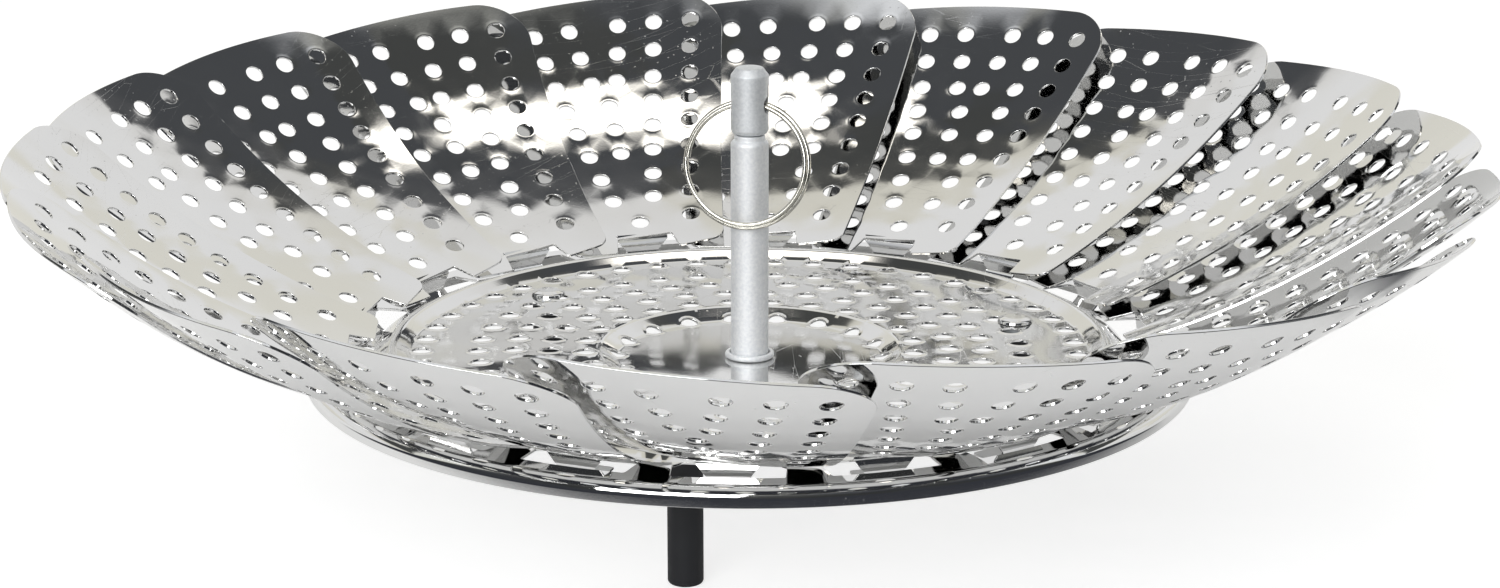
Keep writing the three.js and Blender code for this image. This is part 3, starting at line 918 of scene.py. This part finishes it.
def bright_drawn_wire():
    """Bright drawn spring wire: a hard sharp shine, slightly clouded, with a warm cast."""
    cloud_size = 1.111 * mm
    cloud_depth = 0.008 * mm
    material, tree = new_material("bright_drawn_wire")
    place = add(tree, "ShaderNodeTexCoord").outputs["Object"]
    cloud = add(tree, "ShaderNodeTexNoise", {"Vector": place, "Scale": 1 / cloud_size, "Detail": 3.0})
    rough = add(
        tree,
        "ShaderNodeMapRange",
        {"Value": cloud.outputs["Fac"], "To Min": 0.12, "To Max": 0.26},
    )
    bump = add(tree, "ShaderNodeBump", {"Height": cloud.outputs["Fac"], "Distance": cloud_depth})
    tint = add(
        tree,
        "ShaderNodeMix",
        {"Factor": cloud.outputs["Fac"], "A": colour("#bdbbb2"), "B": colour("#d3d1c9")},
        data_type="RGBA",
    )
    wire = add(
        tree,
        "ShaderNodeBsdfPrincipled",
        {
            "Base Color": tint.outputs["Result"],
            "Metallic": 1.0,
            "Roughness": rough.outputs[0],
            "Normal": bump.outputs[0],
        },
    )
    add(tree, "ShaderNodeOutputMaterial", {"Surface": wire.outputs[0]})
    return material


def split_ring():
    """Points, faces and normals of the wire along its two turns, which step over at the split."""
    steps = 220
    sides = 16
    split_at = math.radians(200)
    end_gap = math.radians(24)
    rotation = np.array(ring_place.to_3x3())
    origin = np.array(ring_place.to_translation())
    travel = np.linspace(end_gap, 4 * math.pi - end_gap, steps)
    share = np.clip((travel - 2 * math.pi + end_gap) / (2 * end_gap), 0, 1)
    step_over = 2 * share**2 * (3 - 2 * share) - 1
    made = []
    facing = []
    for angle, shift in zip(travel + split_at, step_over):
        out = np.array((math.cos(angle), math.sin(angle), 0))
        middle = out * (ring_middle - ring_spring * shift) + (0, 0, ring_stack * shift)
        for k in range(sides):
            turn = 2 * math.pi * k / sides
            face = out * math.cos(turn) + np.array((0, 0, math.sin(turn)))
            made.append(rotation @ (middle + face * wire_radius) + origin)
            facing.append(rotation @ face)
    faces = []
    for row in range(steps - 1):
        for i in range(sides):
            j = (i + 1) % sides
            here, there = row * sides, (row + 1) * sides
            faces.append((here + j, here + i, there + i, there + j))
    faces.append(tuple(range(sides)))
    faces.append(tuple(range(steps * sides - 1, (steps - 1) * sides - 1, -1)))
    return made, faces, facing


pull_ring = made_object("pull_ring_wire", *split_ring(), bright_drawn_wire())
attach(pull_ring, "ring")
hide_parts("pull_ring")

# Screw and washer
# A pan-head steel screw with a plain washer comes up through the dish into the foot of the tube.
dish_under = dish_height - sheet / 2
washer_radius = 4.4
washer_thickness = 0.8
washer_top = dish_under - seat_gap
screw_seat = washer_top - washer_thickness - seat_gap
screw_head_radius = 3.1
screw_head_height = 1.6


def zinc_plated_steel():
    """Zinc-plated steel: a dull bluish grey with a cloudy skin."""
    cloud_size = 2.857 * mm
    cloud_depth = 0.02 * mm
    material, tree = new_material("zinc_plated_steel")
    place = add(tree, "ShaderNodeTexCoord").outputs["Object"]
    cloud = add(tree, "ShaderNodeTexNoise", {"Vector": place, "Scale": 1 / cloud_size, "Detail": 5.0})
    tint = add(
        tree,
        "ShaderNodeMix",
        {"Factor": cloud.outputs["Fac"], "A": colour("#9fa4a8"), "B": colour("#c6c9cb")},
        data_type="RGBA",
    )
    rough = add(
        tree,
        "ShaderNodeMapRange",
        {"Value": cloud.outputs["Fac"], "To Min": 0.24, "To Max": 0.44},
    )
    bump = add(tree, "ShaderNodeBump", {"Height": cloud.outputs["Fac"], "Distance": cloud_depth})
    steel = add(
        tree,
        "ShaderNodeBsdfPrincipled",
        {
            "Base Color": tint.outputs["Result"],
            "Metallic": 1.0,
            "Roughness": rough.outputs[0],
            "Normal": bump.outputs[0],
        },
    )
    add(tree, "ShaderNodeOutputMaterial", {"Surface": steel.outputs[0]})
    return material


plated_steel = zinc_plated_steel()
washer_outline = [
    (screw_radius + running_gap, washer_top - washer_thickness, 0.1),
    (washer_radius, washer_top - washer_thickness, 0.15),
    (washer_radius, washer_top, 0.15),
    (screw_radius + running_gap, washer_top, 0.1),
]
post_washer = made_object("post_washer_plated", *turned(washer_outline), plated_steel)
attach(post_washer, "base")
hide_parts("post_washer")

screw_outline = [
    (0, screw_seat - screw_head_height + 1.1, 0),
    (0.7, screw_seat - screw_head_height + 0.9, 0.3),
    (1.15, screw_seat - screw_head_height, 0.12),
    (screw_head_radius - 0.5, screw_seat - screw_head_height, 0.5),
    (screw_head_radius, screw_seat - 0.3, 0.25),
    (screw_head_radius - 0.1, screw_seat, 0.1),
    (screw_radius, screw_seat, 0.1),
    (screw_radius, tube_foot + foot_height - seat_gap, 0.2),
    (0, tube_foot + foot_height - seat_gap, 0),
]
post_screw = made_object("post_screw_plated", *turned(screw_outline), plated_steel)
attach(post_screw, "base")
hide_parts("post_screw")

# Legs
# Each leg is a steel post held by a domed rivet through the base's floor, with a black silicone
# sleeve pushed over it whose closed end is the foot.
leg_count = 3
leg_circle = 52
first_leg = math.radians(18)
plate_under = -sheet / 2
rivet_seat = sheet / 2 + seat_gap
rivet_head_radius = 3.3
rivet_head_height = 1.1
rivet_radius = 1.2
rivet_depth = 8
leg_radius = 2.15
leg_top = plate_under - seat_gap
sole_height = 2.4
sleeve_gap = 1.2
leg_foot = -floor_height + sole_height + running_gap
sleeve_radius = 3.05
sleeve_top = plate_under - sleeve_gap
leg_sides = 64


def black_silicone():
    """Moulded silicone rubber: a deep grey-black with a soft sheen and a faint powdery bloom."""
    bloom_size = 3.846 * mm
    # The mould's pores are finer. They are drawn as coarse as they need to show.
    pore_size = 0.385 * mm
    pore_depth = 0.01 * mm
    material, tree = new_material("black_silicone")
    place = add(tree, "ShaderNodeTexCoord").outputs["Object"]
    bloom = add(tree, "ShaderNodeTexNoise", {"Vector": place, "Scale": 1 / bloom_size, "Detail": 6.0})
    pores = add(tree, "ShaderNodeTexNoise", {"Vector": place, "Scale": 1 / pore_size, "Detail": 2.0})
    tint = add(
        tree,
        "ShaderNodeMix",
        {"Factor": bloom.outputs["Fac"], "A": colour("#17181b"), "B": colour("#26272b")},
        data_type="RGBA",
    )
    rough = add(
        tree,
        "ShaderNodeMapRange",
        {"Value": bloom.outputs["Fac"], "To Min": 0.38, "To Max": 0.62},
    )
    bump = add(tree, "ShaderNodeBump", {"Height": pores.outputs["Fac"], "Distance": pore_depth})
    rubber = add(
        tree,
        "ShaderNodeBsdfPrincipled",
        {
            "Base Color": tint.outputs["Result"],
            "Roughness": rough.outputs[0],
            "IOR": 1.42,
            "Normal": bump.outputs[0],
        },
    )
    add(tree, "ShaderNodeOutputMaterial", {"Surface": rubber.outputs[0]})
    return material


sleeve_rubber = black_silicone()
rivet_outline = [
    (0, leg_top - rivet_depth, 0),
    (rivet_radius, leg_top - rivet_depth, 0.2),
    (rivet_radius, rivet_seat, 0.1),
    (rivet_head_radius, rivet_seat, 0.12),
    (rivet_head_radius - 0.25, rivet_seat + 0.7, 0.5),
    (rivet_head_radius - 1.3, rivet_seat + rivet_head_height, 1.2),
    (0, rivet_seat + rivet_head_height, 0),
]
post_outline = [
    (0, leg_foot, 0),
    (leg_radius, leg_foot, 0.3),
    (leg_radius, leg_top, 0.15),
    (rivet_radius + running_gap, leg_top, 0.1),
    (rivet_radius + running_gap, leg_top - rivet_depth - running_gap, 0.1),
    (0, leg_top - rivet_depth - running_gap, 0),
]
sleeve_outline = [
    (0, -floor_height, 0),
    (sleeve_radius, -floor_height, 0.7),
    (sleeve_radius, sleeve_top, 0.3),
    (leg_radius + running_gap, sleeve_top, 0.15),
    (leg_radius + running_gap, leg_foot - running_gap, 0.2),
    (0, leg_foot - running_gap, 0),
]
for leg in range(leg_count):
    angle = first_leg + 2 * math.pi * leg / leg_count
    place = Matrix.Translation((leg_circle * mm * math.cos(angle), leg_circle * mm * math.sin(angle), 0))
    for part, outline, material, slot in (
        ("rivet", rivet_outline, stainless, "mirror_steel"),
        ("post", post_outline, plated_steel, "plain_steel"),
        ("sleeve", sleeve_outline, sleeve_rubber, "black_silicone"),
    ):
        piece = made_object(f"leg_{part}_{leg + 1}_made", *turned(outline, leg_sides), material)
        piece.matrix_world = place
        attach(piece, "base")
        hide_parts(f"leg_{part}_{leg + 1}")

# Floor
# A white paper sweep, plain white to look at. The bright steel sees it less white, with painted
# shade beneath the basket, and it sees a painted dark reflection: a dark patch round the basket's
# front and sides that only reflections show.
floor_mesh = bpy.data.meshes.new("floor")
floor_reach = 4
floor_corners = [(x * floor_reach, y * floor_reach, 0) for x, y in ((-1, -1), (1, -1), (1, 1), (-1, 1))]
floor_mesh.from_pydata(floor_corners, [], [(0, 1, 2, 3)])
floor = bpy.data.objects.new("floor", floor_mesh)
bpy.context.scene.collection.objects.link(floor)


def white_sweep():
    """Plain white matt paper with the basket's soft shadow, and painted shade and a painted dark
    reflection for steel.
    """
    middle = (-0.01, 0.01, 0.0)
    # Steel sees painted shade on the paper within this distance of the middle, fading out towards the dark
    # patch.
    shade_inner = 0.05
    # Where the painted dark reflection lies: beyond a distance from the middle, and in front of a line
    # across it.
    dark_inner = 0.13
    dark_back = 0.03
    dark_edge = 0.03
    paper_patch = 25 * mm
    glow_level = 1.6
    glow_share = 0.45
    mirrored_share = 0.5
    material, tree = new_material("white_sweep")
    place = add(tree, "ShaderNodeTexCoord").outputs["Object"]
    cloud = add(tree, "ShaderNodeTexNoise", {"Vector": place, "Scale": 1 / paper_patch, "Detail": 4.0})
    tint = add(
        tree,
        "ShaderNodeMix",
        {"Factor": cloud.outputs["Fac"], "A": colour("#f1f1f1"), "B": colour("#f5f5f5")},
        data_type="RGBA",
    )
    matt = add(tree, "ShaderNodeBsdfDiffuse", {"Color": tint.outputs["Result"]})
    glow = add(tree, "ShaderNodeEmission", {"Color": colour("#ffffff"), "Strength": glow_level})
    # Painted dark reflection: a dark glow on the paper that only reflections show.
    dark_reflection = add(tree, "ShaderNodeEmission", {"Color": colour("#3a3c42")})
    rays = add(tree, "ShaderNodeLightPath").outputs
    apart = add(tree, "ShaderNodeVectorMath", {0: place, 1: middle}, operation="DISTANCE")
    # Painted shade in reflections: the glow that steel sees fades out under the basket, leaving only the
    # matt paper's real shadow there.
    glow_past_shade = add(
        tree,
        "ShaderNodeMapRange",
        {
            "Value": apart.outputs["Value"],
            "From Min": shade_inner,
            "From Max": dark_inner,
            "To Max": mirrored_share,
        },
        interpolation_type="SMOOTHSTEP",
    )
    mirrored = {0: rays["Is Glossy Ray"], 1: glow_past_shade.outputs[0]}
    mirrored = add(tree, "ShaderNodeMath", mirrored, operation="MULTIPLY")
    seen = {0: rays["Is Camera Ray"], 1: mirrored.outputs[0]}
    seen = add(tree, "ShaderNodeMath", seen, operation="MAXIMUM")
    seen = {0: seen.outputs[0], 1: rays["Is Transmission Ray"]}
    seen = add(tree, "ShaderNodeMath", seen, operation="MAXIMUM")
    lift = add(tree, "ShaderNodeMath", {0: seen.outputs[0], 1: glow_share}, operation="MULTIPLY")
    paper = {0: lift.outputs[0], 1: matt.outputs[0], 2: glow.outputs[0]}
    paper = add(tree, "ShaderNodeMixShader", paper)
    beyond = add(
        tree,
        "ShaderNodeMapRange",
        {"Value": apart.outputs["Value"], "From Min": dark_inner, "From Max": dark_inner + dark_edge},
        interpolation_type="SMOOTHSTEP",
    )
    back = add(tree, "ShaderNodeSeparateXYZ", {0: place}).outputs["Y"]
    ahead = add(
        tree,
        "ShaderNodeMapRange",
        {"Value": back, "From Min": dark_back, "From Max": dark_back - dark_edge},
        interpolation_type="SMOOTHSTEP",
    )
    # Only glossy rays see the painted dark reflection.
    in_dark_reflection = {0: ahead.outputs[0], 1: beyond.outputs[0]}
    in_dark_reflection = add(tree, "ShaderNodeMath", in_dark_reflection, operation="MULTIPLY")
    in_dark_reflection = {0: in_dark_reflection.outputs[0], 1: rays["Is Glossy Ray"]}
    in_dark_reflection = add(tree, "ShaderNodeMath", in_dark_reflection, operation="MULTIPLY")
    both = {0: in_dark_reflection.outputs[0], 1: paper.outputs[0], 2: dark_reflection.outputs[0]}
    both = add(tree, "ShaderNodeMixShader", both)
    add(tree, "ShaderNodeOutputMaterial", {"Surface": both.outputs[0]})
    return material


floor_mesh.materials.append(white_sweep())

# Studio
# A pale wall behind that leans over the basket and is lower at its sides, a dark ceiling with a long
# softbox, and a pale screen before a dim near side, all with faint warm patches. They give polished
# steel its pale roots, bright band and dark tops. The camera itself sees plain white.
wall_bow = 0.45
most_bow = 0.14
softbox_level = 2.2
patches_across = 2.6
# The softbox's middle, and how far from it the light is full and where its soft edge ends.
softbox_across = (0.02, 0.25, 0.32)
softbox_over = (0.466, 0.012, 0.042)
world = bpy.data.worlds.new("studio")
bpy.context.scene.world = world
world.use_nodes = True
sky = world.node_tree
sky.nodes.clear()
facing = add(sky, "ShaderNodeTexCoord").outputs["Generated"]
way = add(sky, "ShaderNodeSeparateXYZ", {0: facing}).outputs
height = add(sky, "ShaderNodeMath", {0: way["Z"]}, operation="ABSOLUTE").outputs[0]
over = add(sky, "ShaderNodeMath", {0: height, 1: way["Y"]}, operation="ARCTAN2").outputs[0]
bow = add(sky, "ShaderNodeMath", {0: way["X"], 1: way["X"]}, operation="MULTIPLY").outputs[0]
bow = add(sky, "ShaderNodeMath", {0: bow, 1: wall_bow}, operation="MULTIPLY").outputs[0]
bow = add(sky, "ShaderNodeMath", {0: bow, 1: most_bow}, operation="MINIMUM").outputs[0]
over = add(sky, "ShaderNodeMath", {0: over, 1: 1 / math.pi, 2: bow}, operation="MULTIPLY_ADD").outputs[0]
bands = add(sky, "ShaderNodeValToRGB", {"Fac": over})

# Tones over the basket, from level behind it at 0, through overhead at 0.5, to level before it at 1.
tones = [
    (0.0, "#f4f4f4"),
    (0.3, "#f2f2f2"),
    (0.36, "#ebeae8"),
    (0.378, "#595a5c"),
    (0.42, "#4c4e51"),
    (0.57, "#4c4e51"),
    (0.63, "#f2f4f7"),
    (0.79, "#f2f4f7"),
    (0.86, "#55575b"),
    (1.0, "#3c3e42"),
]
ramp = bands.color_ramp
ramp.interpolation = "EASE"
for element, (position, code) in zip(ramp.elements, (tones[0], tones[-1])):
    element.position = position
    element.color = colour(code)
for position, code in tones[1:-1]:
    ramp.elements.new(position).color = colour(code)


def within(value, middle, inner, outer):
    """1 within the inner distance of the middle, falling softly to 0 at the outer one."""
    away = add(sky, "ShaderNodeMath", {0: value, 1: middle}, operation="SUBTRACT")
    away = add(sky, "ShaderNodeMath", {0: away.outputs[0]}, operation="ABSOLUTE")
    away = {"Value": away.outputs[0], "From Min": outer, "From Max": inner}
    return add(sky, "ShaderNodeMapRange", away, interpolation_type="SMOOTHSTEP").outputs[0]


softbox = {0: within(way["X"], *softbox_across), 1: within(over, *softbox_over)}
softbox = add(sky, "ShaderNodeMath", softbox, operation="MULTIPLY").outputs[0]
level = {0: softbox, 1: softbox_level, 2: 1.0}
level = add(sky, "ShaderNodeMath", level, operation="MULTIPLY_ADD").outputs[0]
warmth = {"Vector": facing, "Scale": patches_across, "Detail": 1.0}
warmth = add(sky, "ShaderNodeTexNoise", warmth).outputs["Fac"]
warmth = {"Value": warmth, "From Min": 0.47, "From Max": 0.56}
warmth = add(sky, "ShaderNodeMapRange", warmth, interpolation_type="SMOOTHSTEP").outputs[0]
wall = {"Factor": warmth, "A": bands.outputs[0], "B": colour("#f6f4ea")}
wall = add(sky, "ShaderNodeMix", wall, data_type="RGBA", blend_type="MULTIPLY").outputs["Result"]
tone = {"Factor": softbox, "A": wall, "B": colour("#fffaf0")}
tone = add(sky, "ShaderNodeMix", tone, data_type="RGBA").outputs["Result"]
studio_light = add(sky, "ShaderNodeBackground", {"Color": tone, "Strength": level}).outputs[0]
backdrop = add(sky, "ShaderNodeBackground", {"Color": colour("#ffffff"), "Strength": 1.0}).outputs[0]
looked_at = add(sky, "ShaderNodeLightPath").outputs["Is Camera Ray"]
both = add(sky, "ShaderNodeMixShader", {0: looked_at, 1: studio_light, 2: backdrop}).outputs[0]
add(sky, "ShaderNodeOutputWorld", {"Surface": both})

# Lamp
# One soft lamp at the front left. Its level is how many times as bright as white its face is.
lamp_spot = Vector((-0.3, -0.85, 0.48))
lamp_target = Vector((0, 0, 0.05))
lamp_size = (0.6, 0.5)
lamp_level = 7.4
lamp_data = bpy.data.lights.new("front_softbox", "AREA")
lamp_data.shape = "RECTANGLE"
lamp_data.size, lamp_data.size_y = lamp_size
lamp_data.energy = lamp_level * math.pi * lamp_size[0] * lamp_size[1]
lamp = bpy.data.objects.new("front_softbox", lamp_data)
lamp.location = lamp_spot
lamp.rotation_euler = (lamp_target - lamp_spot).to_track_quat("-Z", "Y").to_euler()
bpy.context.scene.collection.objects.link(lamp)

# Camera
# It looks down at the basket from a little above the rim, as close as a long lens allows.
camera_rise = math.radians(16.4)
camera_distance = 0.59
camera_data = bpy.data.cameras.new("camera")
camera_data.sensor_width = 36
camera_data.lens = 77.9
camera_data.shift_x = 0.0002
camera_data.shift_y = 0.0359
camera = bpy.data.objects.new("camera", camera_data)
aim = Vector((0, 0, floor_height * mm))
camera.location = aim + camera_distance * Vector((0, -math.cos(camera_rise), math.sin(camera_rise)))
camera.rotation_euler = (aim - camera.location).to_track_quat("-Z", "Y").to_euler()
bpy.context.scene.collection.objects.link(camera)
bpy.context.scene.camera = camera
bpy.context.scene.view_settings.view_transform = "Standard"
